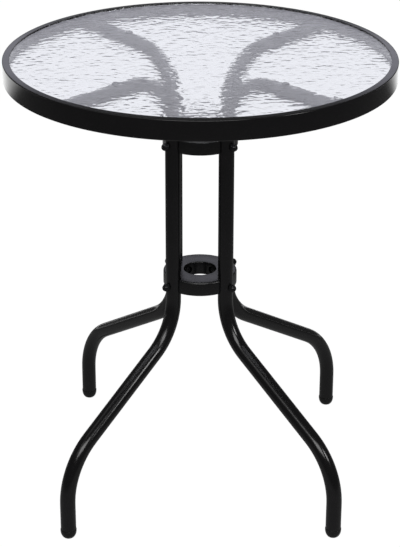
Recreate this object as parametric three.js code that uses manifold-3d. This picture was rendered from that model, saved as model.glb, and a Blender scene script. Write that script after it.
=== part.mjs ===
// A small round patio table with a rippled glass top: four bent tubes, bolted to two moulded
// hubs, reach out under the rim as arms and down to the ground as legs. Millimetres, +Z up,
// and the origin lies on the ground under the middle of the table.

import * as THREE from "three";
import { mergeVertices } from "three/addons/utils/BufferGeometryUtils.js";
import Module from "manifold-3d";

const wasm = await Module();
wasm.setup();

// The whole table
const tableHeight = 710;
const topDiameter = 600;
const seatGap = 0.3;
const cutOverrun = 2;

// Rim: one roll-formed steel band, with a lip over the glass and a hem at its foot
const skirtHeight = 31.7;
const lipWidth = 13.4;
const rimSheet = 1.2;
const rimShoulder = 3;
const hemDepth = 5;
const hemBend = 2.2;

// Glass: one tempered pane, held up under the lip
const glassThickness = 5;
const glassUnderLip = 7;
const glassBevel = 0.8;

// Rubber pads, pushed into the crowns of the arms under the glass
const padDiameter = 12;
const padHeight = 2.5;
const padStemDiameter = 5;
const padStemLength = 5;
const padCircleRadius = 176;
const padCrownShare = 0.5;

// Bent tubes: arm, column and leg in one length
const tubeDiameter = 24;
const tubeWall = 1.2;
const columnRadius = 58;
const armBendRadius = 85;
const kneeBendRadius = 93;
const ankleBendRadius = 108;
const footReach = 250.5;
const footRun = 44;
const legSlope = 30.5;

// Domed caps on the feet
const footCapDiameter = 25.2;
const footFlatDiameter = 9;
const footDomeHeight = 13;
const footCapRim = 2;
const footStemLength = 20;

// Plugs in the ends of the arms
const plugFlange = 2.5;
const plugRounding = 1.5;
const plugStemLength = 12;

// Both plastic ends share a stem wall and a lead-in
const stemWall = 1.8;
const stemLeadIn = 1;

// Hubs: two alike mouldings, cored from below, each a little way from the bends of the tubes
const hubDiameter = 117;
const hubThickness = 22.9;
const lowerHubRise = 11.4;
const upperHubDrop = 12.4;
const poleHoleDiameter = 50.8;
const hubTopRounding = 3.5;
const hubFootRounding = 1.5;
const poleHoleRounding = 1.6;
const hubDeck = 4;
const hubWall = 3;
const hubRib = 2.5;
const bossWidth = 18;

// Hub bolts, washers and cap nuts
const boltDiameter = 6;
const boltHeadDiameter = 10.5;
const boltHeadHeight = 3.3;
const boltHeadCrownShare = 0.55;
const boltSocketAcross = 4;
const boltSocketDepth = 2;
const boltPoint = 0.8;
const boltEndSlack = 1;
const counterboreDiameter = 12.4;
const counterboreDepth = 5;
const washerDiameter = 11;
const washerThickness = 1.2;
const capNutAcross = 11.5;
const capNutHeight = 8.2;
const capNutHexHeight = 3.4;
const capNutDomeDiameter = 11.3;
const capNutThreadDepth = 5.6;

// Rim brackets with their bolts and nuts
const bracketSheet = 2;
const bracketHeight = 18;
const bracketLength = 34;
const bracketTabWidth = 26;
const bracketBoltInset = 24;
const bracketBoltHead = 4;
const bracketNutAcross = 10;
const bracketNutHeight = 5;
const bracketBoltTail = 2;

// The four corners, as angles in degrees. The columns stand on the diagonals. One bolt at each
// hub holds each tube, so its arm and its leg sit turned a little about its column.
const corners = [
  { name: "front_left", azimuth: 225, armTurn: 2.5, legTurn: 6 },
  { name: "front_right", azimuth: 315, armTurn: 1.5, legTurn: -1.6 },
  { name: "rear_right", azimuth: 45, armTurn: 4.5, legTurn: -0.4 },
  { name: "rear_left", azimuth: 135, armTurn: -5.5, legTurn: -4.9 },
];

// Facets of round shapes
const rimSides = 48;
const hubSides = 32;
const tubeSides = 12;
const boreSides = 8;
const smallSides = 8;
const bendStep = 15;

const radians = THREE.MathUtils.degToRad;

// A hole's radius, so that even the flats of its facets clear what passes through
function clearRadius(radius, sides) {
  return (radius + seatGap) / Math.cos(Math.PI / sides);
}

// Places that follow from the sizes above
const rimRadius = topDiameter / 2;
const skirtInside = (rimRadius - rimSheet) * Math.cos(Math.PI / rimSides);
const hemInside = (rimRadius - hemDepth) * Math.cos(Math.PI / rimSides);
const skirtFoot = tableHeight - skirtHeight;
const glassTop = tableHeight - rimSheet - seatGap;
const glassBottom = glassTop - glassThickness;
const glassRadius = rimRadius - lipWidth + glassUnderLip;
const tubeRadius = tubeDiameter / 2;
const boreRadius = tubeRadius - tubeWall;
const stemRadius = boreRadius * Math.cos(Math.PI / boreSides) - seatGap;
const padSeat = glassBottom - seatGap - padHeight;
const armHeight = padSeat - seatGap - tubeRadius;
const footCapTop = footDomeHeight + footCapRim;
const legBend = radians(90 - legSlope);
const footTop = footCapTop + seatGap;
const ankleHeight = footTop + footRun + ankleBendRadius * Math.tan(legBend / 2);
const kneeHeight = ankleHeight + footReach * Math.tan(radians(legSlope));
const lowerHubBase = kneeHeight + kneeBendRadius * Math.tan(legBend / 2) + lowerHubRise;
const upperHubBase = armHeight - armBendRadius - upperHubDrop - hubThickness;
const hubRadius = hubDiameter / 2;
const poleHoleRadius = poleHoleDiameter / 2;
const boltRadius = boltDiameter / 2;
const boltHoleRadius = clearRadius(boltRadius, smallSides);
const boltSeat = poleHoleRadius + counterboreDepth - seatGap;
const washerSeat = columnRadius + tubeRadius + seatGap;
const capNutSeat = washerSeat + washerThickness + seatGap;
const bracketInside = tubeRadius + seatGap;
const bracketOutside = bracketInside + bracketSheet;
const bracketFoot = skirtFoot + hemBend + seatGap;

// Finishes
const finishes = {
  powderCoat: { color: 0x18161a, roughness: 0.32, metalness: 0.5 },
  rippledGlass: { color: 0xe4e8ec, roughness: 0.08, transparent: true, opacity: 0.4 },
  moulding: { color: 0x2a282c, roughness: 0.55, metalness: 0 },
  rubber: { color: 0x1b1b1c, roughness: 0.85, metalness: 0 },
  blackedSteel: { color: 0x141315, roughness: 0.25, metalness: 0.8 },
};

// A geometry as a closed solid for cutting and joining, and a solid as a geometry again
function toSolid(geometry) {
  const bare = geometry.clone();
  bare.deleteAttribute("normal");
  bare.deleteAttribute("uv");
  const merged = mergeVertices(bare, seatGap / 1000);
  const triangles = [];
  for (let i = 0; i < merged.index.count; i += 3) {
    const [a, b, c] = [0, 1, 2].map((corner) => merged.index.getX(i + corner));
    if (a !== b && b !== c && c !== a) {
      triangles.push(a, b, c);
    }
  }
  const vertProperties = new Float32Array(merged.attributes.position.array);
  const triVerts = new Uint32Array(triangles);
  return new wasm.Manifold(new wasm.Mesh({ numProp: 3, vertProperties, triVerts }));
}

function toGeometry(solid) {
  const { vertProperties, triVerts } = solid.getMesh();
  const geometry = new THREE.BufferGeometry();
  geometry.setAttribute("position", new THREE.BufferAttribute(vertProperties, 3));
  geometry.setIndex(new THREE.BufferAttribute(triVerts, 1));
  geometry.computeVertexNormals();
  return geometry;
}

function cut(geometry, tools) {
  const whole = toSolid(geometry);
  return toGeometry(tools.reduce((left, tool) => left.subtract(toSolid(tool)), whole));
}

function join(geometry, other) {
  return toGeometry(toSolid(geometry).add(toSolid(other)));
}

// A shape that three.js makes about its Y axis, stood along another axis instead
function along(axis, geometry) {
  if (axis === "x") {
    return geometry.rotateZ(-Math.PI / 2);
  }
  return axis === "z" ? geometry.rotateX(Math.PI / 2) : geometry;
}

// A profile of radii and heights, revolved about an axis
function turned(axis, profile, sides, arcSteps) {
  return along(axis, new THREE.LatheGeometry(profile.getPoints(arcSteps), sides));
}

function bar(axis, radius, from, to, sides = smallSides) {
  const cylinder = new THREE.CylinderGeometry(radius, radius, to - from, sides);
  return along(axis, cylinder.translate(0, (from + to) / 2, 0));
}

function hexBar(axis, acrossFlats, from, to) {
  return bar(axis, acrossFlats / 2 / Math.cos(Math.PI / 6), from, to, 6);
}

// The centreline of a bent tube: straight runs, with a bend at each corner between them. Its
// points and tangents are handed out station by station, so that a straight run is one step.
class BentLine extends THREE.Curve {
  constructor(points, bendRadii) {
    super();
    this.points = points;
    const last = points.length - 1;
    this.stations = [{ point: points[0], tangent: this.direction(0) }];
    bendRadii.forEach((radius, i) => this.addBend(i + 1, radius));
    this.stations.push({ point: points[last], tangent: this.direction(last - 1) });
  }

  direction(run) {
    return this.points[run + 1].clone().sub(this.points[run]).normalize();
  }

  addBend(corner, radius) {
    const before = this.direction(corner - 1);
    const after = this.direction(corner);
    const bend = before.angleTo(after);
    const inward = after.clone().addScaledVector(before, -before.dot(after)).normalize();
    const tangentLength = radius * Math.tan(bend / 2);
    const start = this.points[corner].clone().addScaledVector(before, -tangentLength);
    const steps = Math.round(bend / radians(bendStep));
    for (let step = 0; step <= steps; step += 1) {
      const angle = (bend * step) / steps;
      const point = start.clone().addScaledVector(before, radius * Math.sin(angle));
      point.addScaledVector(inward, radius * (1 - Math.cos(angle)));
      const tangent = before.clone().multiplyScalar(Math.cos(angle));
      tangent.addScaledVector(inward, Math.sin(angle));
      this.stations.push({ point, tangent });
    }
  }

  get steps() {
    return this.stations.length - 1;
  }

  station(share) {
    return this.stations[Math.round(share * this.steps)];
  }

  getPointAt(share) {
    return this.station(share).point.clone();
  }

  getTangentAt(share) {
    return this.station(share).tangent.clone();
  }
}

function circlePoints(radius, sides) {
  return Array.from({ length: sides }, (_, i) => {
    const angle = (2 * Math.PI * i) / sides;
    return new THREE.Vector2(radius * Math.cos(angle), radius * Math.sin(angle));
  });
}

// The arm's tube stops where its plug, at full width, just clears the rim's hem
function armLength(corner) {
  const turn = radians(corner.armTurn);
  const aside = columnRadius * Math.abs(Math.sin(turn)) + tubeRadius;
  const hemDistance = Math.sqrt(hemInside ** 2 - aside ** 2) - columnRadius * Math.cos(turn);
  return hemDistance - seatGap - plugFlange - seatGap;
}

// Rim band: skirt, rounded shoulder, lip and turned-in hem from one strip of sheet
function rimBand() {
  const shoulderRadius = rimRadius - rimShoulder;
  const shoulderHeight = tableHeight - rimShoulder;
  const hemRadius = rimRadius - hemBend;
  const hemHeight = skirtFoot + hemBend;
  const edge = rimSheet / 2;
  const lipRadius = rimRadius - lipWidth + edge;
  const down = -Math.PI / 2;
  const up = Math.PI / 2;
  const profile = new THREE.Path();
  profile.moveTo(rimRadius - hemDepth, skirtFoot);
  profile.lineTo(hemRadius, skirtFoot);
  profile.absarc(hemRadius, hemHeight, hemBend, down, 0, false);
  profile.absarc(shoulderRadius, shoulderHeight, rimShoulder, 0, up, false);
  profile.absarc(lipRadius, tableHeight - edge, edge, up, up + Math.PI, false);
  profile.absarc(shoulderRadius, shoulderHeight, rimShoulder - rimSheet, up, 0, true);
  profile.absarc(hemRadius, hemHeight, hemBend - rimSheet, 0, down, true);
  profile.lineTo(rimRadius - hemDepth, skirtFoot + rimSheet);
  profile.closePath();
  return turned("z", profile, rimSides, 1);
}

// Glass pane with bevelled edges
function glassPane() {
  const profile = new THREE.Path();
  profile.moveTo(0, glassBottom);
  profile.lineTo(glassRadius - glassBevel, glassBottom);
  profile.lineTo(glassRadius, glassBottom + glassBevel);
  profile.lineTo(glassRadius, glassTop - glassBevel);
  profile.lineTo(glassRadius - glassBevel, glassTop);
  profile.lineTo(0, glassTop);
  return turned("z", profile, rimSides, 1);
}

// Bent tube, drilled across for both hub bolts and the bracket's bolt, and once through the
// crown of the arm for its pad
function bentTube(corner) {
  const up = new THREE.Vector3(0, 0, 1);
  const armEnd = new THREE.Vector3(armLength(corner), 0, armHeight);
  const foot = new THREE.Vector3(footReach, 0, footTop);
  const ankle = foot.clone().setZ(ankleHeight);
  const elbow = new THREE.Vector3(0, 0, armHeight);
  const knee = new THREE.Vector3(0, 0, kneeHeight);
  armEnd.applyAxisAngle(up, radians(corner.armTurn));
  foot.applyAxisAngle(up, radians(corner.legTurn));
  ankle.applyAxisAngle(up, radians(corner.legTurn));
  const bendRadii = [armBendRadius, kneeBendRadius, ankleBendRadius];
  const line = new BentLine([armEnd, elbow, knee, ankle, foot], bendRadii);
  const section = new THREE.Shape(circlePoints(tubeRadius, tubeSides));
  section.holes.push(new THREE.Path(circlePoints(boreRadius, boreSides).reverse()));
  const options = { steps: line.steps, extrudePath: line, bevelEnabled: false };
  const tube = new THREE.ExtrudeGeometry(section, options);

  const hubHoles = [lowerHubBase, upperHubBase].map((base) => {
    const hole = bar("x", boltHoleRadius, -tubeDiameter, tubeDiameter);
    return hole.translate(0, 0, base + hubThickness / 2);
  });
  const bracketHole = bar("y", boltHoleRadius, -tubeDiameter, tubeDiameter);
  bracketHole.translate(armLength(corner) - bracketBoltInset, 0, armHeight);
  const padHoleRadius = clearRadius(padStemDiameter / 2, smallSides);
  const padHole = bar("z", padHoleRadius, armHeight, padSeat + cutOverrun);
  padHole.translate(padCircleRadius - columnRadius, 0, 0);
  const armHoles = [bracketHole, padHole].map((hole) => hole.rotateZ(radians(corner.armTurn)));
  return cut(tube, [...hubHoles, ...armHoles]);
}

// Foot cap: a dome with a small flat to stand on, and a hollow stem up the bore
function footCap() {
  const capRadius = footCapDiameter / 2;
  const flatRadius = footFlatDiameter / 2;
  const stemTop = footCapTop + footStemLength;
  const domeWidth = capRadius - flatRadius;
  const profile = new THREE.Path();
  profile.moveTo(0, 0);
  profile.lineTo(flatRadius, 0);
  profile.absellipse(flatRadius, footDomeHeight, domeWidth, footDomeHeight, -Math.PI / 2, 0);
  profile.lineTo(capRadius, footCapTop);
  profile.lineTo(stemRadius, footCapTop);
  profile.lineTo(stemRadius, stemTop - stemLeadIn);
  profile.lineTo(stemRadius - stemLeadIn, stemTop);
  profile.lineTo(stemRadius - stemWall, stemTop);
  profile.lineTo(stemRadius - stemWall, footCapTop);
  profile.lineTo(0, footCapTop);
  return turned("z", profile, tubeSides, 2);
}

// Arm plug: a rounded flange over the tube's end and a hollow stem in the bore
function armPlug() {
  const flangeRadius = tubeRadius;
  const profile = new THREE.Path();
  profile.moveTo(0, 0);
  profile.lineTo(stemRadius - stemWall, 0);
  profile.lineTo(stemRadius - stemWall, -plugStemLength);
  profile.lineTo(stemRadius - stemLeadIn, -plugStemLength);
  profile.lineTo(stemRadius, stemLeadIn - plugStemLength);
  profile.lineTo(stemRadius, 0);
  profile.lineTo(flangeRadius, 0);
  const roundingHeight = plugFlange - plugRounding;
  profile.absarc(flangeRadius - plugRounding, roundingHeight, plugRounding, 0, Math.PI / 2);
  profile.lineTo(0, plugFlange);
  return turned("x", profile, tubeSides, 1);
}

// Glass pad: a mushroom of rubber, its stem pushed through the crown of the arm
function glassPad() {
  const padRadius = padDiameter / 2;
  const stem = padStemDiameter / 2;
  const profile = new THREE.Path();
  profile.moveTo(0, -padStemLength);
  profile.lineTo(stem, -padStemLength);
  profile.lineTo(stem, 0);
  profile.lineTo(padRadius, 0);
  profile.quadraticCurveTo(padRadius, padHeight, padRadius * padCrownShare, padHeight);
  profile.lineTo(0, padHeight);
  return turned("z", profile, smallSides, 3);
}

// One pocket in the hub's underside, between two angles that differ at its inner and outer wall
function pocket(innerFrom, innerTo, outerFrom, outerTo) {
  const innerRadius = poleHoleRadius + hubWall;
  const outerRadius = hubRadius - hubWall;
  const shape = new THREE.Shape();
  shape.absarc(0, 0, outerRadius, outerFrom, outerTo, false);
  shape.absarc(0, 0, innerRadius, innerTo, innerFrom, true);
  shape.closePath();
  const depth = hubThickness - hubDeck + cutOverrun;
  const options = { depth, bevelEnabled: false, curveSegments: 2 };
  return new THREE.ExtrudeGeometry(shape, options).translate(0, 0, -cutOverrun);
}

// Hub: a disc with the pole's hole, four notches that take half of each column, a boss for
// each bolt, and ribs between the bosses
function hub() {
  const foot = hubRadius - hubFootRounding;
  const shoulder = hubRadius - hubTopRounding;
  const holeShoulder = poleHoleRadius + poleHoleRounding;
  const up = Math.PI / 2;
  const profile = new THREE.Path();
  profile.moveTo(poleHoleRadius, 0);
  profile.lineTo(foot, 0);
  profile.absarc(foot, hubFootRounding, hubFootRounding, -up, 0, false);
  profile.absarc(shoulder, hubThickness - hubTopRounding, hubTopRounding, 0, up, false);
  const holeShoulderHeight = hubThickness - poleHoleRounding;
  profile.absarc(holeShoulder, holeShoulderHeight, poleHoleRounding, up, Math.PI, false);
  profile.closePath();
  const disc = turned("z", profile, hubSides, 1);

  const innerWall = poleHoleRadius + hubWall;
  const outerWall = hubRadius - hubWall;
  const notchRadius = clearRadius(tubeRadius, tubeSides);
  const bossAtHole = Math.asin(bossWidth / 2 / innerWall);
  const bossAtRim = Math.asin((notchRadius + hubWall) / outerWall);
  const ribAtHole = up / 2 - Math.asin(hubRib / 2 / innerWall);
  const ribAtRim = up / 2 - Math.asin(hubRib / 2 / outerWall);
  const middle = hubThickness / 2;
  const tools = [];
  for (let quarter = 0; quarter < 4; quarter += 1) {
    const notch = bar("z", notchRadius, -cutOverrun, hubThickness + cutOverrun, tubeSides);
    const boltHole = bar("x", boltHoleRadius, 0, hubRadius);
    const counterboreEnd = poleHoleRadius + counterboreDepth;
    const counterbore = bar("x", counterboreDiameter / 2, 0, counterboreEnd);
    tools.push(
      notch.translate(columnRadius, 0, 0).rotateZ(quarter * up),
      boltHole.translate(0, 0, middle).rotateZ(quarter * up),
      counterbore.translate(0, 0, middle).rotateZ(quarter * up),
      pocket(bossAtHole, ribAtHole, bossAtRim, ribAtRim).rotateZ(quarter * up),
      pocket(-ribAtHole, -bossAtHole, -ribAtRim, -bossAtRim).rotateZ(quarter * up),
    );
  }
  return cut(disc, tools);
}

// Hub bolt: a button head, seated in its counterbore, with a hexagon socket
function hubBolt() {
  const headRadius = boltHeadDiameter / 2;
  const crownRadius = headRadius * boltHeadCrownShare;
  const end = capNutSeat + capNutThreadDepth - boltEndSlack;
  const headTop = boltSeat - boltHeadHeight;
  const profile = new THREE.Path();
  profile.moveTo(0, headTop);
  profile.lineTo(crownRadius, headTop);
  profile.quadraticCurveTo(headRadius, headTop, headRadius, boltSeat);
  profile.lineTo(boltRadius, boltSeat);
  profile.lineTo(boltRadius, end - boltPoint);
  profile.lineTo(boltRadius - boltPoint, end);
  profile.lineTo(0, end);
  const body = turned("x", profile, smallSides, 2);
  const socket = hexBar("x", boltSocketAcross, headTop - cutOverrun, headTop + boltSocketDepth);
  return cut(body, [socket]);
}

// Flat washer under the cap nut
function washer() {
  const ring = bar("x", washerDiameter / 2, washerSeat, washerSeat + washerThickness);
  return cut(ring, [bar("x", boltHoleRadius, 0, capNutSeat)]);
}

// Cap nut: a hexagon with a dome over the blind thread
function capNut() {
  const domeRadius = capNutDomeDiameter / 2;
  const domeCentre = capNutSeat + capNutHeight - domeRadius;
  const profile = new THREE.Path();
  profile.moveTo(0, capNutSeat + capNutHexHeight / 2);
  profile.lineTo(domeRadius, capNutSeat + capNutHexHeight / 2);
  profile.absarc(0, domeCentre, domeRadius, 0, Math.PI / 2, false);
  const dome = turned("x", profile, smallSides, 2);
  const hexagon = hexBar("x", capNutAcross, capNutSeat, capNutSeat + capNutHexHeight);
  const thread = bar("x", boltHoleRadius, 0, capNutSeat + capNutThreadDepth);
  return cut(join(hexagon, dome), [thread]);
}

// Rim bracket: an angle of steel strip. One leaf lies along the side of the arm, the other is
// curved to the inside of the skirt and welded there.
function rimBracket(corner) {
  const turn = radians(corner.armTurn);
  const centreX = -columnRadius * Math.cos(turn);
  const centreY = columnRadius * Math.sin(turn);
  const outerRadius = skirtInside - seatGap;
  const innerRadius = outerRadius - bracketSheet;
  const tabEnd = bracketInside + bracketTabWidth;
  const leafEnd = armLength(corner) - bracketLength;
  const angleAt = (radius, y) => Math.asin((y - centreY) / radius);
  const arc = (radius, from, to, clockwise) => {
    const [start, end] = [angleAt(radius, from), angleAt(radius, to)];
    shape.absarc(centreX, centreY, radius, start, end, clockwise);
  };
  const shape = new THREE.Shape();
  shape.moveTo(leafEnd, bracketInside);
  arc(outerRadius, bracketInside, tabEnd, false);
  arc(innerRadius, tabEnd, bracketOutside, true);
  shape.lineTo(leafEnd, bracketOutside);
  shape.closePath();
  const options = { depth: bracketHeight, bevelEnabled: false, curveSegments: 2 };
  const plate = new THREE.ExtrudeGeometry(shape, options);
  plate.translate(0, 0, bracketFoot);
  const hole = bar("y", boltHoleRadius, 0, bracketOutside + cutOverrun);
  hole.translate(armLength(corner) - bracketBoltInset, 0, armHeight);
  return cut(plate, [hole]);
}

// Bracket bolt and nut, across the arm
function bracketBolt() {
  const seat = bracketOutside + seatGap;
  const end = -tubeRadius - seatGap - bracketNutHeight - bracketBoltTail;
  const head = hexBar("y", bracketNutAcross, seat, seat + bracketBoltHead);
  const shank = bar("y", boltRadius, end, seat + bracketBoltHead / 2);
  return join(head, shank);
}

function bracketNut() {
  const seat = -tubeRadius - seatGap;
  const hexagon = hexBar("y", bracketNutAcross, seat - bracketNutHeight, seat);
  return cut(hexagon, [bar("y", boltHoleRadius, -tubeDiameter - bracketNutHeight, 0)]);
}

// The assembly. Each corner's frame has its X axis out along the diagonal. The tube's frame
// stands on the column's axis, and the arm's and the foot's frames are turned about it.
const table = new THREE.Group();

function frame(parent, x, turn) {
  const group = new THREE.Group();
  group.position.x = x;
  group.rotation.z = radians(turn);
  parent.add(group);
  return group;
}

function place(parent, name, geometry, finish, x = 0, z = 0) {
  const piece = new THREE.Mesh(geometry, new THREE.MeshStandardMaterial(finishes[finish]));
  piece.name = name;
  piece.position.set(x, 0, z);
  parent.add(piece);
  return piece;
}

place(table, "rim_band", rimBand(), "powderCoat");
place(table, "glass_top", glassPane(), "rippledGlass");

const hubs = { lower: lowerHubBase, upper: upperHubBase };
const hubGeometry = hub();
for (const [level, base] of Object.entries(hubs)) {
  const diagonal = frame(table, 0, corners[0].azimuth);
  place(diagonal, `${level}_hub`, hubGeometry, "moulding", 0, base);
}

const hubFasteners = { bolt: hubBolt(), washer: washer(), cap_nut: capNut() };
const bracketFasteners = { bolt: bracketBolt(), nut: bracketNut() };
const pad = glassPad();
const plug = armPlug();
const cap = footCap();

for (const corner of corners) {
  const diagonal = frame(table, 0, corner.azimuth);
  for (const [level, base] of Object.entries(hubs)) {
    for (const [kind, geometry] of Object.entries(hubFasteners)) {
      const name = `${level}_hub_${kind}_${corner.name}`;
      place(diagonal, name, geometry, "blackedSteel", 0, base + hubThickness / 2);
    }
  }

  const column = frame(diagonal, columnRadius, 0);
  place(column, `tube_${corner.name}`, bentTube(corner), "powderCoat");

  const arm = frame(column, 0, corner.armTurn);
  const tubeEnd = armLength(corner);
  place(arm, `rim_bracket_${corner.name}`, rimBracket(corner), "powderCoat");
  place(arm, `arm_plug_${corner.name}`, plug, "moulding", tubeEnd + seatGap, armHeight);
  place(arm, `glass_pad_${corner.name}`, pad, "rubber", padCircleRadius - columnRadius, padSeat);
  for (const [kind, geometry] of Object.entries(bracketFasteners)) {
    const name = `bracket_${kind}_${corner.name}`;
    place(arm, name, geometry, "blackedSteel", tubeEnd - bracketBoltInset, armHeight);
  }

  const leg = frame(column, 0, corner.legTurn);
  place(leg, `foot_cap_${corner.name}`, cap, "moulding", footReach);
}

export default table;
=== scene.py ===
"""A small round patio table with a rippled glass top: four bent tubes under a flat steel rim.

Metres throughout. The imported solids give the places, and each piece here is one of them made fine.
"""

import math

import bmesh
import bpy
from mathutils import Matrix, Vector, noise


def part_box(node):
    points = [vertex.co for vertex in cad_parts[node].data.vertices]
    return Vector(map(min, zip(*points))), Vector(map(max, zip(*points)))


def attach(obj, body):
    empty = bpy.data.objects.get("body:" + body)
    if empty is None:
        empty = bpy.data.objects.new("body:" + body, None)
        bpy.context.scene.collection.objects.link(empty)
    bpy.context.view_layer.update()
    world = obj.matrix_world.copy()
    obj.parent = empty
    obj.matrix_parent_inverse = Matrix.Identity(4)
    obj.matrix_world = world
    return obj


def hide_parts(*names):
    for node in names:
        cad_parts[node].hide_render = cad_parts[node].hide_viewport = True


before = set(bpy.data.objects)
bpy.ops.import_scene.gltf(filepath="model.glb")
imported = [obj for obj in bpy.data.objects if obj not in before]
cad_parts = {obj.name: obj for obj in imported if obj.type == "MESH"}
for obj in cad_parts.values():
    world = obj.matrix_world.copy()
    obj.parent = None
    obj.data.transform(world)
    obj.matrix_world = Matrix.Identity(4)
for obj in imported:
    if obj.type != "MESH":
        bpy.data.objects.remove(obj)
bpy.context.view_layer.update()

# Bent tubes. Each is one length of steel tube, bent three times: an arm out to the rim, a column
# and a leg. Holes are drilled across the column for the hub bolts, across the arm for its bracket
# and down through the arm's crown for its pad, and then it is powder coated near black.
CORNER_ANGLES = {"front_left": 225, "front_right": 315, "rear_right": 45, "rear_left": 135}
COLUMN_CIRCLE_RADIUS = 0.058
TUBE_RADIUS = 0.012
TUBE_WALL = 0.0012
ARM_BEND_RADIUS = 0.085
KNEE_BEND_RADIUS = 0.093
ANKLE_BEND_RADIUS = 0.108
LEG_SLOPE = math.radians(30.5)
FOOT_RUN = 0.044
BOLT_HOLE_RADIUS = 0.0033
PAD_HOLE_RADIUS = 0.0028
BRACKET_BOLT_INSET = 0.024
SEAT_GAP = 0.0003
CUT_OVERRUN = 0.002
TUBE_SEGMENTS = 48
HOLE_SEGMENTS = 24
BEND_STEP = math.radians(4)
UP = Vector((0, 0, 1))


class Wire:
    """A node's output. Sums and products of wires add their own Math nodes."""

    def __init__(self, tree, socket=None):
        self.tree = tree
        self.socket = socket

    def node(self, kind, settings=None, sockets=None, output=0):
        """Adds a node, with its settings first and then its sockets, and gives one output."""
        made = self.tree.nodes.new(kind)
        for name, value in (settings or {}).items():
            setattr(made, name, value)
        for name, value in (sockets or {}).items():
            if isinstance(value, Wire):
                self.tree.links.new(value.socket, made.inputs[name])
            else:
                made.inputs[name].default_value = value
        return Wire(self.tree, made.outputs[output])

    def maths(self, operation, first, second=0.0):
        """One sum on two values."""
        return self.node("ShaderNodeMath", {"operation": operation}, {0: first, 1: second})

    def blend(self, dark, light):
        """The colour between two others that this value stands for."""
        sockets = {0: self, 6: (*dark, 1), 7: (*light, 1)}
        return self.node("ShaderNodeMix", {"data_type": "RGBA"}, sockets, output=2)

    def __add__(self, other):
        return self.maths("ADD", self, other)

    def __sub__(self, other):
        return self.maths("SUBTRACT", self, other)

    def __rsub__(self, other):
        return self.maths("SUBTRACT", other, self)

    def __mul__(self, other):
        return self.maths("MULTIPLY", self, other)

    __radd__ = __add__
    __rmul__ = __mul__


def empty_tree(owner, output_kind):
    """Clears the nodes of a material or world, and gives its output and a first wire."""
    owner.use_nodes = True
    owner.node_tree.nodes.clear()
    end = owner.node_tree.nodes.new(output_kind)
    return end, Wire(owner.node_tree)


def object_place(start):
    """Where a point lies on the object, in metres."""
    return start.node("ShaderNodeTexCoord", output="Object")


def mottle(start, cell):
    """Noise fixed to the object, in cells of the given size, as a value round a half."""
    return start.node("ShaderNodeTexNoise", None, {"Vector": object_place(start), "Scale": 1 / cell})


MOTTLE_SHARE = 0.7
ROUGHNESS_SPREAD = 0.10


def solid_finish(name, colours, roughness, specular, patch, grain, grain_depth):
    """An opaque finish: patches of two near colours under a fine grain of its own size."""
    material = bpy.data.materials.new(name)
    end, start = empty_tree(material, "ShaderNodeOutputMaterial")
    patches = mottle(start, patch)
    grains = mottle(start, grain)
    relief = start.node("ShaderNodeBump", None, {"Distance": grain_depth, "Height": grains})
    sockets = {
        "Base Color": (patches * MOTTLE_SHARE + grains * (1 - MOTTLE_SHARE)).blend(*colours),
        "Roughness": patches * ROUGHNESS_SPREAD + roughness,
        "Normal": relief,
        "Specular IOR Level": specular,
    }
    shader = start.node("ShaderNodeBsdfPrincipled", None, sockets)
    start.tree.links.new(shader.socket, end.inputs["Surface"])
    return material


NEAR_BLACKS = ((0.0022, 0.0020, 0.0022), (0.0044, 0.0041, 0.0047))
powder_coat = solid_finish(
    "powder_coat",
    NEAR_BLACKS,
    roughness=0.12,
    specular=0.50,
    patch=0.035,
    grain=0.0022,
    grain_depth=0.000002,
)

WELD_DISTANCE = 0.000001
SHARP_ANGLE = math.radians(35)


def as_object(name, shape):
    """Makes an object of a bmesh, which is used up."""
    bmesh.ops.remove_doubles(shape, verts=shape.verts[:], dist=WELD_DISTANCE)
    bmesh.ops.recalc_face_normals(shape, faces=shape.faces[:])
    mesh = bpy.data.meshes.new(name)
    shape.to_mesh(mesh)
    shape.free()
    made = bpy.data.objects.new(name, mesh)
    bpy.context.scene.collection.objects.link(made)
    return made


def carve(shape, tools, operation="DIFFERENCE"):
    """Cuts other shapes out of a shape, or joins them to it, by applied Boolean modifiers."""
    body = as_object("carved", shape)
    others = [as_object("tool", tool) for tool in tools]
    for other in others:
        modifier = body.modifiers.new("carve", "BOOLEAN")
        modifier.operation = operation
        modifier.solver = "EXACT"
        modifier.object = other
    result = bmesh.new()
    result.from_object(body, bpy.context.evaluated_depsgraph_get())
    for used in [body, *others]:
        mesh = used.data
        bpy.data.objects.remove(used)
        bpy.data.meshes.remove(mesh)
    return result


def finish_piece(name, shape, material, node):
    """Makes the visible piece of a node: smooth, with hard edges where it turns sharply."""
    piece = as_object(name, shape)
    shading = bmesh.new()
    shading.from_mesh(piece.data)
    for face in shading.faces:
        face.smooth = True
    for edge in shading.edges:
        edge.smooth = edge.calc_face_angle(0) < SHARP_ANGLE
    shading.to_mesh(piece.data)
    shading.free()
    piece.data.materials.append(material)
    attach(piece, "root")
    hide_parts(node)


def middle(node):
    """The middle of a node's box."""
    low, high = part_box(node)
    return (low + high) / 2


def rod(radius, start, end, segments=HOLE_SEGMENTS):
    """A plain cylinder from one height to another on the Z axis."""
    shape = bmesh.new()
    centre = Matrix.Translation((0, 0, (start + end) / 2))
    bmesh.ops.create_cone(
        shape,
        cap_ends=True,
        segments=segments,
        radius1=radius,
        radius2=radius,
        depth=end - start,
        matrix=centre,
    )
    return shape


def placed(shape, matrix):
    """Moves a shape to its place."""
    bmesh.ops.transform(shape, matrix=matrix, verts=shape.verts[:])
    return shape


Z_TO_X = Matrix.Rotation(math.pi / 2, 4, "Y")
Z_TO_Y = Matrix.Rotation(-math.pi / 2, 4, "X")


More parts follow.
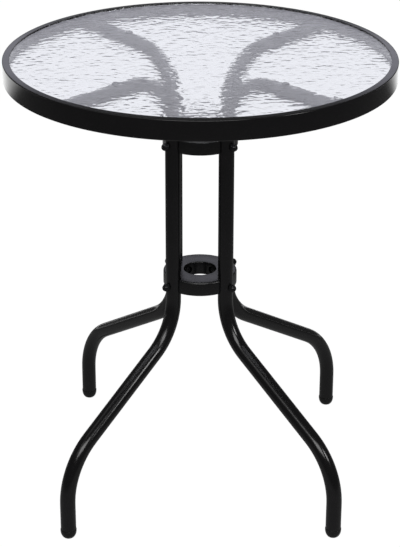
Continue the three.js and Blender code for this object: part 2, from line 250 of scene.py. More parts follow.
class Corner:
    """One corner of the table: where its column stands, and which way its arm and leg point."""

    def __init__(self, name, angle):
        self.name = name
        self.tube = f"tube_{name}"
        self.turn = Matrix.Rotation(math.radians(angle), 4, "Z")
        self.column = self.turn @ Vector((COLUMN_CIRCLE_RADIUS, 0, 0))
        self.foot = middle(f"foot_cap_{name}")
        self.pad = middle(f"glass_pad_{name}")
        self.arm = self.level(self.pad)
        self.leg = self.level(self.foot)
        low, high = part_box(self.tube)
        self.foot_top = low.z
        self.arm_height = high.z - TUBE_RADIUS
        crown = [v.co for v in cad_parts[self.tube].data.vertices if v.co.z > self.arm_height]
        self.arm_length = max((place - self.column).dot(self.arm) for place in crown)

    def level(self, place):
        """The level direction from the column's axis to a place."""
        return Vector((place.x - self.column.x, place.y - self.column.y, 0)).normalized()

    def arm_frame(self, along):
        """The frame on the arm's axis, X outwards, at a distance from the column's axis."""
        turn = Matrix((self.arm, UP.cross(self.arm), UP)).transposed().to_4x4()
        return Matrix.Translation(self.column + self.arm * along + UP * self.arm_height) @ turn

    def hub_frame(self, height):
        """The frame on the table's axis, X out along the diagonal, at a height."""
        return Matrix.Translation((0, 0, height)) @ self.turn


class TubeRun:
    """A tube that grows from its open end, by straight runs and by bends."""

    def __init__(self, centre, direction):
        self.shape = bmesh.new()
        self.centre = centre
        self.direction = direction
        turn = UP.rotation_difference(direction).to_matrix().to_4x4()
        place = Matrix.Translation(centre) @ turn
        bmesh.ops.create_circle(
            self.shape, segments=TUBE_SEGMENTS, radius=TUBE_RADIUS, matrix=place
        )
        self.ring = self.shape.verts[:] + self.shape.edges[:]

    def straight(self, length):
        """Grows the tube straight on."""
        edges = [part for part in self.ring if isinstance(part, bmesh.types.BMEdge)]
        grown = bmesh.ops.extrude_edge_only(self.shape, edges=edges)["geom"]
        self.ring = [part for part in grown if not isinstance(part, bmesh.types.BMFace)]
        points = [part for part in self.ring if isinstance(part, bmesh.types.BMVert)]
        bmesh.ops.translate(self.shape, vec=self.direction * length, verts=points)
        self.centre = self.centre + self.direction * length

    def bend(self, towards, radius):
        """Bends the tube until it runs in the new direction."""
        angle = self.direction.angle(towards)
        axis = self.direction.cross(towards).normalized()
        pivot = self.centre + axis.cross(self.direction) * radius
        made = bmesh.ops.spin(
            self.shape,
            geom=self.ring,
            cent=pivot,
            axis=axis,
            dvec=(0, 0, 0),
            angle=angle,
            steps=math.ceil(angle / BEND_STEP),
            use_merge=False,
            use_duplicate=False,
        )
        self.ring = made["geom_last"]
        self.centre = pivot + Matrix.Rotation(angle, 3, axis) @ (self.centre - pivot)
        self.direction = towards


corners = [Corner(name, angle) for name, angle in CORNER_ANGLES.items()]
hub_heights = {level: middle(f"{level}_hub").z for level in ("lower", "upper")}
leg_bend = math.pi / 2 - LEG_SLOPE
knee_cut = KNEE_BEND_RADIUS * math.tan(leg_bend / 2)
ankle_cut = ANKLE_BEND_RADIUS * math.tan(leg_bend / 2)

for corner in corners:
    foot_reach = (corner.foot.xy - corner.column.xy).length
    slope = corner.leg * math.cos(LEG_SLOPE) - UP * math.sin(LEG_SLOPE)
    ankle_height = corner.foot_top + FOOT_RUN + ankle_cut
    knee_top = ankle_height + foot_reach * math.tan(LEG_SLOPE) + knee_cut
    run = TubeRun(corner.arm_frame(corner.arm_length).translation, -corner.arm)
    run.straight(corner.arm_length - ARM_BEND_RADIUS)
    run.bend(-UP, ARM_BEND_RADIUS)
    run.straight(run.centre.z - knee_top)
    run.bend(slope, KNEE_BEND_RADIUS)
    run.straight(foot_reach / math.cos(LEG_SLOPE) - knee_cut - ankle_cut)
    run.bend(-UP, ANKLE_BEND_RADIUS)
    run.straight(run.centre.z - corner.foot_top)
    bmesh.ops.recalc_face_normals(run.shape, faces=run.shape.faces[:])
    bmesh.ops.solidify(run.shape, geom=run.shape.faces[:], thickness=TUBE_WALL)

    reach = TUBE_RADIUS + CUT_OVERRUN
    drills = []
    for height in hub_heights.values():
        drill = rod(BOLT_HOLE_RADIUS, COLUMN_CIRCLE_RADIUS - reach, COLUMN_CIRCLE_RADIUS + reach)
        drills.append(placed(drill, corner.hub_frame(height) @ Z_TO_X))
    across_arm = corner.arm_frame(corner.arm_length - BRACKET_BOLT_INSET) @ Z_TO_Y
    drills.append(placed(rod(BOLT_HOLE_RADIUS, -reach, reach), across_arm))
    crown = Matrix.Translation((corner.pad.x, corner.pad.y, corner.arm_height))
    drills.append(placed(rod(PAD_HOLE_RADIUS, 0, reach), crown))
    tube = carve(run.shape, drills)
    name = f"bent_tube_{corner.name}"
    finish_piece(name, tube, powder_coat, corner.tube)

# Foot caps. Black moulded domes with a hollow stem, pushed up into the ends of the legs. Each
# stands on a small flat and is a little wider than its tube.
CAP_RADIUS = 0.0126
CAP_FLAT_RADIUS = 0.0045
CAP_DOME_HEIGHT = 0.013
CAP_RIM = 0.002
CAP_RIM_ROUNDING = 0.0005
CAP_STEM_LENGTH = 0.020
STEM_RADIUS = 0.0098
STEM_WALL = 0.0018
STEM_LEAD_IN = 0.001
LATHE_STEPS = 64
ROUNDING_SEGMENTS = 8
WHOLE = 100


def lathe(profile, steps=LATHE_STEPS):
    """Turns a profile about Z: each corner is a radius, a height and the rounding it is given.
    A whole rounding, in percent, takes up all of the edges on both sides of its corner."""
    shape = bmesh.new()
    points = [shape.verts.new((radius, 0, height)) for radius, height, _ in profile]
    is_ring = min(radius for radius, _, _ in profile) > 0
    ends = points[1:] + points[:1] if is_ring else points[1:]
    for start, end in zip(points, ends):
        shape.edges.new((start, end))
    for point, (_, _, rounding) in zip(points, profile):
        if rounding:
            bmesh.ops.bevel(
                shape,
                geom=[point],
                offset=rounding,
                offset_type="PERCENT" if rounding == WHOLE else "OFFSET",
                segments=ROUNDING_SEGMENTS,
                profile=0.5,
                affect="VERTICES",
                material=-1,
            )
    bmesh.ops.spin(
        shape,
        geom=shape.verts[:] + shape.edges[:],
        cent=(0, 0, 0),
        axis=(0, 0, 1),
        dvec=(0, 0, 0),
        angle=2 * math.pi,
        steps=steps,
        use_merge=True,
        use_duplicate=False,
    )
    return shape


CAP_BLACKS = ((0.003, 0.003, 0.003), (0.006, 0.006, 0.006))
cap_plastic = solid_finish(
    "cap_plastic",
    CAP_BLACKS,
    roughness=0.26,
    specular=0.40,
    patch=0.02,
    grain=0.0008,
    grain_depth=0.000004,
)
cap_top = CAP_DOME_HEIGHT + CAP_RIM
stem_top = cap_top + CAP_STEM_LENGTH

for corner in corners:
    cap = lathe(
        [
            (0, 0, 0),
            (CAP_FLAT_RADIUS, 0, 0),
            (CAP_RADIUS, 0, WHOLE),
            (CAP_RADIUS, CAP_DOME_HEIGHT, 0),
            (CAP_RADIUS, cap_top, CAP_RIM_ROUNDING),
            (STEM_RADIUS, cap_top, 0),
            (STEM_RADIUS, stem_top, STEM_LEAD_IN),
            (STEM_RADIUS - STEM_WALL, stem_top, 0),
            (STEM_RADIUS - STEM_WALL, cap_top, 0),
            (0, cap_top, 0),
        ]
    )
    place = Matrix.Translation((corner.foot.x, corner.foot.y, 0))
    node = f"foot_cap_{corner.name}"
    finish_piece(f"domed_{node}", placed(cap, place), cap_plastic, node)

# Arm plugs. The same black plastic: a rounded flange as wide as the tube closes the end of each
# arm just inside the rim, on a hollow stem in the bore.
PLUG_FLANGE = 0.0025
PLUG_ROUNDING = 0.0015
PLUG_STEM_LENGTH = 0.012

for corner in corners:
    plug = lathe(
        [
            (0, 0, 0),
            (STEM_RADIUS - STEM_WALL, 0, 0),
            (STEM_RADIUS - STEM_WALL, -PLUG_STEM_LENGTH, 0),
            (STEM_RADIUS, -PLUG_STEM_LENGTH, STEM_LEAD_IN),
            (STEM_RADIUS, 0, 0),
            (TUBE_RADIUS, 0, 0),
            (TUBE_RADIUS, PLUG_FLANGE, PLUG_ROUNDING),
            (0, PLUG_FLANGE, 0),
        ]
    )
    place = corner.arm_frame(corner.arm_length + SEAT_GAP) @ Z_TO_X
    node = f"arm_plug_{corner.name}"
    finish_piece(f"rounded_{node}", placed(plug, place), cap_plastic, node)

# Hubs. Two alike mouldings of filled plastic, cored from below. Each has a hole for an umbrella's
# pole, four notches that take half of each column, a boss for each bolt and ribs between them,
# and stands back a little round the hole at its foot.
HUB_RADIUS = 0.0585
HUB_TOP_ROUNDING = 0.0035
HUB_FOOT_ROUNDING = 0.0015
POLE_HOLE_RADIUS = 0.0254
POLE_HOLE_ROUNDING = 0.0016
HUB_DECK = 0.004
HUB_WALL = 0.003
HUB_RIB = 0.0025
POLE_RECESS_WIDTH = 0.012
POLE_RECESS_DEPTH = 0.0015
BOSS_WIDTH = 0.018
COUNTERBORE_RADIUS = 0.0062
COUNTERBORE_DEPTH = 0.005
HUB_STEPS = 128

HUB_BLACKS = ((0.0018, 0.0018, 0.002), (0.004, 0.004, 0.0045))
hub_plastic = solid_finish(
    "hub_plastic",
    HUB_BLACKS,
    roughness=0.21,
    specular=0.50,
    patch=0.02,
    grain=0.0009,
    grain_depth=0.00001,
)


def bar(width, low, high):
    """A plain bar across the whole hub, through the Z axis and along X."""
    shape = bmesh.new()
    size = Matrix.Diagonal((2 * HUB_RADIUS + CUT_OVERRUN, width, high - low, 1))
    place = Matrix.Translation((0, 0, (low + high) / 2))
    bmesh.ops.create_cube(shape, size=1, matrix=place @ size)
    return shape


for level, height in hub_heights.items():
    low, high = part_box(f"{level}_hub")
    below = low.z - CUT_OVERRUN
    disc = lathe(
        [
            (POLE_HOLE_RADIUS, low.z, 0),
            (HUB_RADIUS, low.z, HUB_FOOT_ROUNDING),
            (HUB_RADIUS, high.z, HUB_TOP_ROUNDING),
            (POLE_HOLE_RADIUS, high.z, POLE_HOLE_ROUNDING),
        ],
        steps=HUB_STEPS,
    )
    groove = lathe(
        [
            (POLE_HOLE_RADIUS + HUB_WALL, below, 0),
            (HUB_RADIUS - HUB_WALL, below, 0),
            (HUB_RADIUS - HUB_WALL, high.z - HUB_DECK, 0),
            (POLE_HOLE_RADIUS + HUB_WALL, high.z - HUB_DECK, 0),
        ],
        steps=HUB_STEPS,
    )
    notch_radius = TUBE_RADIUS + SEAT_GAP
    counterbore_end = POLE_HOLE_RADIUS + COUNTERBORE_DEPTH
    webs = []
    for corner in corners[:2]:
        between_bosses = corner.turn @ Matrix.Rotation(math.pi / 4, 4, "Z")
        webs.append(placed(bar(BOSS_WIDTH, below - CUT_OVERRUN, high.z), corner.turn))
        webs.append(placed(bar(HUB_RIB, below - CUT_OVERRUN, high.z), between_bosses))
    recess_radius = POLE_HOLE_RADIUS + POLE_RECESS_WIDTH
    cuts = [rod(recess_radius, below, low.z + POLE_RECESS_DEPTH, HUB_STEPS)]
    for corner in corners:
        column = Matrix.Translation(corner.column)
        outwards = corner.hub_frame(height) @ Z_TO_X
        sleeve = rod(notch_radius + HUB_WALL, below - CUT_OVERRUN, high.z, TUBE_SEGMENTS)
        webs.append(placed(sleeve, column))
        notch = rod(notch_radius, below, high.z + CUT_OVERRUN, TUBE_SEGMENTS)
        cuts.append(placed(notch, column))
        cuts.append(placed(rod(BOLT_HOLE_RADIUS, HUB_WALL, HUB_RADIUS), outwards))
        cuts.append(placed(rod(COUNTERBORE_RADIUS, HUB_WALL, counterbore_end), outwards))
    hub = carve(disc, [carve(groove, webs), *cuts])
    finish_piece(f"moulded_{level}_hub", hub, hub_plastic, f"{level}_hub")

# Hub bolts, washers and cap nuts. Blacked steel: a button head in its counterbore, a shank through
# hub and column, and outside the column a washer and a domed nut.
BOLT_RADIUS = 0.003
BOLT_HEAD_RADIUS = 0.00525
BOLT_CROWN_RADIUS = 0.0029
BOLT_HEAD_HEIGHT = 0.0033
BOLT_SOCKET_ACROSS = 0.004
BOLT_SOCKET_DEPTH = 0.002
BOLT_POINT = 0.0008
BOLT_END_SLACK = 0.001
WASHER_RADIUS = 0.0055
WASHER_THICKNESS = 0.0012
WASHER_ROUNDING = 0.0003
NUT_ACROSS = 0.0115
NUT_HEX_HEIGHT = 0.0034
NUT_HEIGHT = 0.0082
NUT_DOME_RADIUS = 0.00565
NUT_THREAD_DEPTH = 0.0056
NUT_TURNS = {"front_left": 8, "front_right": 27, "rear_right": 41, "rear_left": 17}
FASTENER_STEPS = 40
HEXAGON_SIDES = 6

STEEL_BLACKS = ((0.003, 0.003, 0.004), (0.007, 0.007, 0.008))
blacked_steel = solid_finish(
    "blacked_steel",
    STEEL_BLACKS,
    roughness=0.20,
    specular=0.30,
    patch=0.004,
    grain=0.001,
    grain_depth=0.000003,
)


def corner_radius(across):
    """The radius to the corners of a hexagon that is measured across its flats."""
    return across / 2 / math.cos(math.pi / HEXAGON_SIDES)


def hexagon(across, start, end):
    """A six-sided prism on the Z axis, with its corners turned off at the end as on a nut."""
    widest = corner_radius(across)
    chamfer = widest - across / 2
    turned = lathe(
        [
            (0, start - CUT_OVERRUN, 0),
            (widest + chamfer, start - CUT_OVERRUN, 0),
            (widest + chamfer, end - chamfer, 0),
            (across / 2, end, 0),
            (across / 2, end + CUT_OVERRUN, 0),
            (0, end + CUT_OVERRUN, 0),
        ],
        steps=FASTENER_STEPS,
    )
    return carve(rod(widest, start, end, HEXAGON_SIDES), [turned], "INTERSECT")


washer_seat = COLUMN_CIRCLE_RADIUS + TUBE_RADIUS + SEAT_GAP
nut_seat = washer_seat + WASHER_THICKNESS + SEAT_GAP
nut_shoulder = nut_seat + NUT_HEIGHT - NUT_DOME_RADIUS
bolt_seat = POLE_HOLE_RADIUS + COUNTERBORE_DEPTH - SEAT_GAP
head_top = bolt_seat - BOLT_HEAD_HEIGHT
bolt_end = nut_seat + NUT_THREAD_DEPTH - BOLT_END_SLACK

for level, height in hub_heights.items():
    for corner in corners:
        bolt = lathe(
            [
                (0, head_top, 0),
                (BOLT_CROWN_RADIUS, head_top, 0),
                (BOLT_HEAD_RADIUS, head_top, WHOLE),
                (BOLT_HEAD_RADIUS, bolt_seat, 0),
                (BOLT_RADIUS, bolt_seat, 0),
                (BOLT_RADIUS, bolt_end, BOLT_POINT),
                (0, bolt_end, 0),
            ],
            steps=FASTENER_STEPS,
        )
        washer = lathe(
            [
                (BOLT_HOLE_RADIUS, washer_seat, 0),
                (WASHER_RADIUS, washer_seat, WASHER_ROUNDING),
                (WASHER_RADIUS, washer_seat + WASHER_THICKNESS, WASHER_ROUNDING),
                (BOLT_HOLE_RADIUS, washer_seat + WASHER_THICKNESS, 0),
            ],
            steps=FASTENER_STEPS,
        )
        dome = lathe(
            [
                (0, nut_seat + NUT_HEX_HEIGHT / 2, 0),
                (NUT_DOME_RADIUS, nut_seat + NUT_HEX_HEIGHT / 2, 0),
                (NUT_DOME_RADIUS, nut_shoulder, 0),
                (NUT_DOME_RADIUS, nut_seat + NUT_HEIGHT, WHOLE),
                (0, nut_seat + NUT_HEIGHT, 0),
            ],
            steps=FASTENER_STEPS,
        )
        socket = rod(
            corner_radius(BOLT_SOCKET_ACROSS),
            head_top - CUT_OVERRUN,
            head_top + BOLT_SOCKET_DEPTH,
            HEXAGON_SIDES,
        )
        nut = carve(hexagon(NUT_ACROSS, nut_seat, nut_seat + NUT_HEX_HEIGHT), [dome], "UNION")
        thread = rod(BOLT_HOLE_RADIUS, nut_seat - CUT_OVERRUN, nut_seat + NUT_THREAD_DEPTH)
        shapes = {
            "bolt": carve(bolt, [socket]),
            "washer": washer,
            "cap_nut": carve(nut, [thread]),
        }
        wrench_turn = Matrix.Rotation(math.radians(NUT_TURNS[corner.name]), 4, "Z")
        place = corner.hub_frame(height) @ Z_TO_X @ wrench_turn
        for kind, shape in shapes.items():
            node = f"{level}_hub_{kind}_{corner.name}"
            name = f"turned_{node}"
            finish_piece(name, placed(shape, place), blacked_steel, node)

# Rim brackets, with a bolt and a nut across the end of each arm. One leaf of the steel angle lies
# along the arm, and the other is curved to the skirt and welded there before the coat goes on.
BRACKET_SHEET = 0.002
BRACKET_NUT_ACROSS = 0.010
BRACKET_BOLT_HEAD = 0.004
BRACKET_NUT_HEIGHT = 0.005
BRACKET_BOLT_TAIL = 0.002

head_seat = TUBE_RADIUS + SEAT_GAP + BRACKET_SHEET + SEAT_GAP
nut_face = TUBE_RADIUS + SEAT_GAP
tail = nut_face + BRACKET_NUT_HEIGHT + BRACKET_BOLT_TAIL
for corner in corners:
    shank = lathe(
        [
            (0, -tail, 0),
            (BOLT_RADIUS, -tail, BOLT_POINT),
            (BOLT_RADIUS, head_seat + BRACKET_BOLT_HEAD / 2, 0),
            (0, head_seat + BRACKET_BOLT_HEAD / 2, 0),
        ],
        steps=FASTENER_STEPS,
    )
    head = hexagon(BRACKET_NUT_ACROSS, head_seat, head_seat + BRACKET_BOLT_HEAD)
    nut = hexagon(BRACKET_NUT_ACROSS, nut_face, nut_face + BRACKET_NUT_HEIGHT)
    nut = carve(nut, [rod(BOLT_HOLE_RADIUS, 0, tail)])
    shapes = {
        "bolt": carve(head, [shank], "UNION"),
        "nut": placed(nut, Matrix.Rotation(math.pi, 4, "X")),
    }
    across_arm = corner.arm_frame(corner.arm_length - BRACKET_BOLT_INSET) @ Z_TO_Y
    for kind, shape in shapes.items():
        node = f"bracket_{kind}_{corner.name}"
        name = f"turned_{node}"
        finish_piece(name, placed(shape, across_arm), blacked_steel, node)
    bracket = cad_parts[f"rim_bracket_{corner.name}"]
    bracket.data.materials.clear()
    bracket.data.materials.append(powder_coat)

# Rim band. One strip of steel, rolled to a skirt with a tight shoulder, a lip over the glass that
# falls a little outwards and a hem turned in at its foot, closed to a ring and powder coated.
RIM_RADIUS = 0.300
RIM_SHEET = 0.0012
LIP_WIDTH = 0.0108
RIM_SHOULDER = 0.00125
LIP_CREST = 0.0048
LIP_CREST_FALL = 0.00034
LIP_FALL = 0.0008
LIP_ROUNDING = 0.003
LIP_EDGE_SHARE = 0.49
HEM_DEPTH = 0.005
HEM_BEND = 0.0022
RIM_STEPS = 256

low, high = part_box("rim_band")
lip_radius = RIM_RADIUS - LIP_WIDTH
crest_radius = lip_radius + LIP_CREST
lip_edge = RIM_SHEET * LIP_EDGE_SHARE
rim = lathe(
    [
        (RIM_RADIUS - HEM_DEPTH, low.z, 0),
        (RIM_RADIUS, low.z, HEM_BEND),
        (RIM_RADIUS, high.z - LIP_FALL, RIM_SHOULDER),
        (crest_radius, high.z - LIP_CREST_FALL, LIP_ROUNDING),
        (lip_radius, high.z, lip_edge),
        (lip_radius, high.z - RIM_SHEET, lip_edge),
        (crest_radius, high.z - LIP_CREST_FALL - RIM_SHEET, LIP_ROUNDING),
        (RIM_RADIUS - RIM_SHEET, high.z - LIP_FALL - RIM_SHEET, RIM_SHOULDER - RIM_SHEET),
        (RIM_RADIUS - RIM_SHEET, low.z + RIM_SHEET, HEM_BEND - RIM_SHEET),
        (RIM_RADIUS - HEM_DEPTH, low.z + RIM_SHEET, 0),
    ],
    steps=RIM_STEPS,
)
finish_piece("rolled_rim_band", rim, powder_coat, "rim_band")

# Glass pads. Rubber mushrooms, moulded in one piece each. Their stems are pushed through the crowns
# of the arms, and the glass lies on their heads.
PAD_RADIUS = 0.006
PAD_CROWN_RADIUS = 0.003
PAD_HEIGHT = 0.0025
PAD_STEM_RADIUS = 0.0025
PAD_STEM_LENGTH = 0.005

RUBBER_BLACKS = ((0.006, 0.006, 0.006), (0.014, 0.014, 0.014))
pad_rubber = solid_finish(
    "pad_rubber",
    RUBBER_BLACKS,
    roughness=0.60,
    specular=0.30,
    patch=0.006,
    grain=0.0008,
    grain_depth=0.00001,
)

for corner in corners:
    node = f"glass_pad_{corner.name}"
    pad = lathe(
        [
            (0, -PAD_STEM_LENGTH, 0),
            (PAD_STEM_RADIUS, -PAD_STEM_LENGTH, 0),
            (PAD_STEM_RADIUS, 0, 0),
            (PAD_RADIUS, 0, 0),
            (PAD_RADIUS, PAD_HEIGHT, WHOLE),
            (PAD_CROWN_RADIUS, PAD_HEIGHT, 0),
            (0, PAD_HEIGHT, 0),
        ]
    )
    low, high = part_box(node)
    place = Matrix.Translation((corner.pad.x, corner.pad.y, high.z - PAD_HEIGHT))
    finish_piece(f"rubber_{node}", placed(pad, place), pad_rubber, node)

# Glass top. One pane of tempered glass, smooth above and rolled below into a close pattern of
# shallow lenses with creases between them, its edge ground to a small bevel. It lies on the pads
# and reaches under the lip.
GLASS_BEVEL = 0.0008
GLASS_CELLS = 300
LENS_WIDTH = 0.0125
LENS_DEPTH = 0.010
LENS_DRIFT = 0.04
DRIFT_LAYER = 7
LENS_HEIGHT = 0.00037
LENS_MARGIN = 0.012
CREASE_WIDTH = 0.5
CREASE_PATCH = 0.02
CREASE_FADE = (0.35, 0.65)
CREASE_FAINTEST = 0.2
WAVE_CELL = (0.012, 0.008)
WAVE_DEPTH = 0.0002
GLASS_IOR = 1.5
# The grey of the glass is partly its own cool tint and partly painted shade of the floor under the
# table; along the creases it is darker still, with painted shade for the streaks that the lenses
# bend.
GLASS_TINT_AND_FLOOR_SHADE = (0.795, 0.81, 0.845)
PAINTED_CREASE_SHADE = (0.735, 0.75, 0.785)
SHADOW_TINT = (0.88, 0.9, 0.92, 1)

glass_low, glass_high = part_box("glass_top")
glass_radius = glass_high.x
flat_radius = glass_radius - GLASS_BEVEL


def ripple(x, y):
    """How high a lens stands at a place, and how near it is to a crease, from nothing to one."""
    drift = noise.noise(Vector((x / LENS_DRIFT, y / LENS_DRIFT, DRIFT_LAYER)))
    place = Vector((x / LENS_WIDTH + drift, y / LENS_DEPTH + drift, 0))
    near, farther = noise.voronoi(place)[0][:2]
    inside = max(0, min(1, (flat_radius - math.hypot(x, y)) / LENS_MARGIN))
    crease = max(0, 1 - (farther - near) / CREASE_WIDTH)
    return max(0, 1 - near**2) * inside, crease**2 * inside


# A square grid is drawn out to a disc, and its border is then raised to the bevels and the edge.
pane = bmesh.new()
creases = pane.verts.layers.float.new("crease")
bmesh.ops.create_grid(pane, x_segments=GLASS_CELLS, y_segments=GLASS_CELLS, size=1)
for vert in pane.verts:
    x = vert.co.x * math.sqrt(1 - vert.co.y**2 / 2) * flat_radius
    y = vert.co.y * math.sqrt(1 - vert.co.x**2 / 2) * flat_radius
    rise, vert[creases] = ripple(x, y)
    vert.co = (x, y, glass_low.z + rise * LENS_HEIGHT)
edge_ring = [edge for edge in pane.edges if edge.is_boundary]
thickness = glass_high.z - glass_low.z
for spread, rise in (
    (glass_radius / flat_radius, GLASS_BEVEL),
    (1, thickness - 2 * GLASS_BEVEL),
    (flat_radius / glass_radius, GLASS_BEVEL),
):
    grown = bmesh.ops.extrude_edge_only(pane, edges=edge_ring)["geom"]
    edge_ring = [part for part in grown if isinstance(part, bmesh.types.BMEdge)]
    points = [part for part in grown if isinstance(part, bmesh.types.BMVert)]
    bmesh.ops.scale(pane, vec=(spread, spread, 1), verts=points)
    bmesh.ops.translate(pane, vec=(0, 0, rise), verts=points)
bmesh.ops.edgeloop_fill(pane, edges=edge_ring)


def ramp(value, low, high, before, after):
    """Runs smoothly from one strength to another as a value goes from low to high."""
    sockets = {0: value, 1: low, 2: high, 3: before, 4: after}
    settings = {"interpolation_type": "SMOOTHSTEP"}
    return value.node("ShaderNodeMapRange", settings, sockets)


def light_path(start, ray):
    """One for the rays of one kind, such as camera, glossy or shadow, and nothing for the rest."""
    return start.node("ShaderNodeLightPath", output=f"Is {ray} Ray")


def clear_glass(name):
    """Clear glass in slight waves. Its grey is partly the glass's own tint and partly painted shade
    of the floor under the table, and it is darker along its creases with painted shade for the
    streaks that the lenses bend. Light for the shadows and for dull surfaces goes straight through
    it."""
    material = bpy.data.materials.new(name)
    end, start = empty_tree(material, "ShaderNodeOutputMaterial")
    crease = start.node("ShaderNodeAttribute", {"attribute_name": "crease"}, output="Fac")
    # Painted shade along the creases, stronger in some patches than in others.
    depth = crease * ramp(mottle(start, CREASE_PATCH), *CREASE_FADE, CREASE_FAINTEST, 1)
    cells = (1 / WAVE_CELL[0], 1 / WAVE_CELL[1], 0)
    spread = {0: object_place(start), 1: cells}
    place = start.node("ShaderNodeVectorMath", {"operation": "MULTIPLY"}, spread)
    waves = start.node("ShaderNodeTexNoise", None, {"Vector": place, "Scale": 1, "Detail": 1})
    relief = start.node("ShaderNodeBump", None, {"Distance": WAVE_DEPTH, "Height": waves})
    sockets = {
        "Base Color": depth.blend(GLASS_TINT_AND_FLOOR_SHADE, PAINTED_CREASE_SHADE),
        "Roughness": 0,
        "IOR": GLASS_IOR,
        "Transmission Weight": 1,
        "Normal": relief,
    }
    glass = start.node("ShaderNodeBsdfPrincipled", None, sockets)
    clear = start.node("ShaderNodeBsdfTransparent", None, {"Color": SHADOW_TINT})
    let_through = start.maths("MAXIMUM", light_path(start, "Shadow"), light_path(start, "Diffuse"))
    shader = start.node("ShaderNodeMixShader", None, {0: let_through, 1: glass, 2: clear})
    start.tree.links.new(shader.socket, end.inputs["Surface"])
    return material


rippled_glass = clear_glass("rippled_glass")
finish_piece("rippled_glass_top", pane, rippled_glass, "glass_top")

# Floor. A plain pale sheet that reads white to the camera. In gloss it is dim but for a lit patch
# well behind the table, which starts a little nearer on the left.
FLOOR_SIZE = (80, 80)
FLOOR_PALE = (0.8, 0.8, 0.8, 1)
FLOOR_FAINT = (0.06, 0.06, 0.06, 1)
FLOOR_WHITE = 0.98
FLOOR_NEAR = 0.20
FLOOR_FAR = 0.07
FLOOR_FADE = (0.4, 1.5)
PATCH_LIGHT = 1.5
PATCH_START = (1.3, 1.95)
PATCH_END = (2.2, 2.8)
PATCH_SLANT = 0.115


def part_of(place, axis):
    """How far a place lies along X, Y or Z."""
    return place.node("ShaderNodeSeparateXYZ", None, {0: place}, output=axis)


def level_sheet(name, size, matrix):
    """A plain rectangle, laid level round the origin and then moved to its place."""
    shape = bmesh.new()
    bmesh.ops.create_grid(shape, x_segments=1, y_segments=1, size=0.5)
    bmesh.ops.scale(shape, vec=(*size, 1), verts=shape.verts[:])
    return as_object(name, placed(shape, matrix))


floor = level_sheet("floor", FLOOR_SIZE, Matrix())
floor_paper = bpy.data.materials.new("floor_paper")
end, start = empty_tree(floor_paper, "ShaderNodeOutputMaterial")
lit = start.node("ShaderNodeBsdfDiffuse", None, {"Color": FLOOR_PALE})
faint = start.node("ShaderNodeBsdfDiffuse", None, {"Color": FLOOR_FAINT})
seen = start.maths("MAXIMUM", light_path(start, "Camera"), light_path(start, "Transmission"))
in_gloss = light_path(start, "Glossy") * (1 - seen)
place = object_place(start)
distance = start.node("ShaderNodeVectorMath", {"operation": "LENGTH"}, {0: place}, output="Value")
behind = part_of(place, "Y") - part_of(place, "X") * PATCH_SLANT
patch = ramp(behind, *PATCH_START, 0, PATCH_LIGHT) * ramp(behind, *PATCH_END, 1, 0)
gloss = patch + ramp(distance, *FLOOR_FADE, FLOOR_NEAR, FLOOR_FAR)
strength = seen * FLOOR_WHITE + in_gloss * gloss
glow = start.node("ShaderNodeEmission", None, {"Color": (1, 1, 1, 1), "Strength": strength})
white = start.node("ShaderNodeAddShader", None, {0: faint, 1: glow})
shader = start.node("ShaderNodeMixShader", None, {0: seen + in_gloss, 1: lit, 2: white})
start.tree.links.new(shader.socket, end.inputs["Surface"])
floor.data.materials.append(floor_paper)

# Card. A white card that stands upright behind the table, with soft edges. It only shows in gloss:
# on the lip, the glass and the hub.
CARD_SIZE = (2.9, 0.8)
CARD_PLACE = (-0.15, 2.2, 1.42)
CARD_LIGHT = 0.88
CARD_SIDES = (1.05, 1.40)
CARD_ENDS = (0.17, 0.36)
GLOSS_TINT = (0.95, 0.95, 1.10, 1)

upright = Matrix.Translation(CARD_PLACE) @ Matrix.Rotation(math.pi / 2, 4, "X")
card = level_sheet("card", CARD_SIZE, upright)
white_card = bpy.data.materials.new("white_card")
end, start = empty_tree(white_card, "ShaderNodeOutputMaterial")
place = object_place(start)
across = start.maths("ABSOLUTE", part_of(place, "X") - CARD_PLACE[0])
upwards = start.maths("ABSOLUTE", part_of(place, "Z") - CARD_PLACE[2])
strength = ramp(across, *CARD_SIDES, CARD_LIGHT, 0) * ramp(upwards, *CARD_ENDS, 1, 0)
glow = start.node("ShaderNodeEmission", None, {"Color": GLOSS_TINT, "Strength": strength})
air = start.node("ShaderNodeBsdfTransparent", None, {"Color": (1, 1, 1, 1)})
both = start.node("ShaderNodeAddShader", None, {0: air, 1: glow})
in_gloss = light_path(start, "Glossy") * (1 - light_path(start, "Transmission"))
shader = start.node("ShaderNodeMixShader", None, {0: in_gloss, 1: air, 2: both})
start.tree.links.new(shader.socket, end.inputs["Surface"])
card.data.materials.append(white_card)

# Light. A plain room, white to the camera and dim in gloss, and four soft lamps: one in front, a
# narrow one at the right, and two faint ones at the left and above.
SOFT_LIGHT = 0.45
ROOM_GLOSS = 0.10
LAMP_DISTANCE = 2.2
LAMPS = {
    "front_lamp": {"towards": (0.026, -0.743, 0.67), "size": (1.40, 0.80), "power": 15},
    "right_lamp": {"towards": (0.67, -0.49, 0.56), "size": (0.38, 0.55), "power": 6.5},
    "left_lamp": {"towards": (-0.41, -0.53, 0.74), "size": (0.80, 0.80), "power": 1.4},
    "top_lamp": {"towards": (-0.33, 0.02, 0.94), "size": (1.00, 1.00), "power": 1.4},
}
LAMP_TARGET = Vector((0, 0, 0.25))

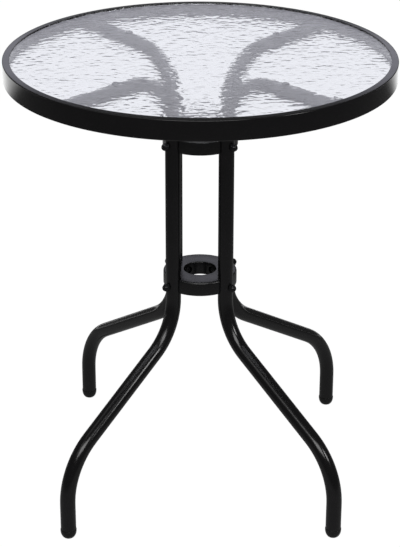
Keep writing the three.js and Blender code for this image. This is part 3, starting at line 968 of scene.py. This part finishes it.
world = bpy.data.worlds.new("room")
bpy.context.scene.world = world
end, start = empty_tree(world, "ShaderNodeOutputWorld")
seen = start.maths("MAXIMUM", light_path(start, "Camera"), light_path(start, "Transmission"))
in_gloss = light_path(start, "Glossy") * (1 - seen)
strength = seen + in_gloss * ROOM_GLOSS + (1 - seen - in_gloss) * SOFT_LIGHT
room = start.node("ShaderNodeBackground", None, {"Color": (1, 1, 1, 1), "Strength": strength})
start.tree.links.new(room.socket, end.inputs["Surface"])

for name, lamp_sizes in LAMPS.items():
    lamp = bpy.data.lights.new(name, "AREA")
    lamp.shape = "RECTANGLE"
    lamp.size, lamp.size_y = lamp_sizes["size"]
    lamp.energy = lamp_sizes["power"]
    lamp_object = bpy.data.objects.new(name, lamp)
    towards = Vector(lamp_sizes["towards"]).normalized()
    turn = (-towards).to_track_quat("-Z", "Y").to_matrix().to_4x4()
    lamp_place = LAMP_TARGET + towards * LAMP_DISTANCE
    lamp_object.matrix_world = Matrix.Translation(lamp_place) @ turn
    bpy.context.scene.collection.objects.link(lamp_object)

# Camera. It looks down at the table from the front through a long lens, at the photograph's angle,
# turned and rolled by a degree or so.
CAMERA_LENS = 121.43
CAMERA_SENSOR = 36
CAMERA_DISTANCE = 2.69164
CAMERA_HEIGHT = 1.54684
CAMERA_PITCH = math.radians(24.033)
CAMERA_TURN = math.radians(1.24)
CAMERA_ROLL = math.radians(0.12)

camera = bpy.data.cameras.new("camera")
camera.lens = CAMERA_LENS
camera.sensor_width = CAMERA_SENSOR
camera_object = bpy.data.objects.new("camera", camera)
camera_object.matrix_world = (
    Matrix.Rotation(CAMERA_TURN, 4, "Z")
    @ Matrix.Translation((0, -CAMERA_DISTANCE, CAMERA_HEIGHT))
    @ Matrix.Rotation(math.pi / 2 - CAMERA_PITCH, 4, "X")
    @ Matrix.Rotation(CAMERA_ROLL, 4, "Z")
)
bpy.context.scene.collection.objects.link(camera_object)
bpy.context.scene.camera = camera_object
bpy.context.scene.view_settings.view_transform = "Standard"
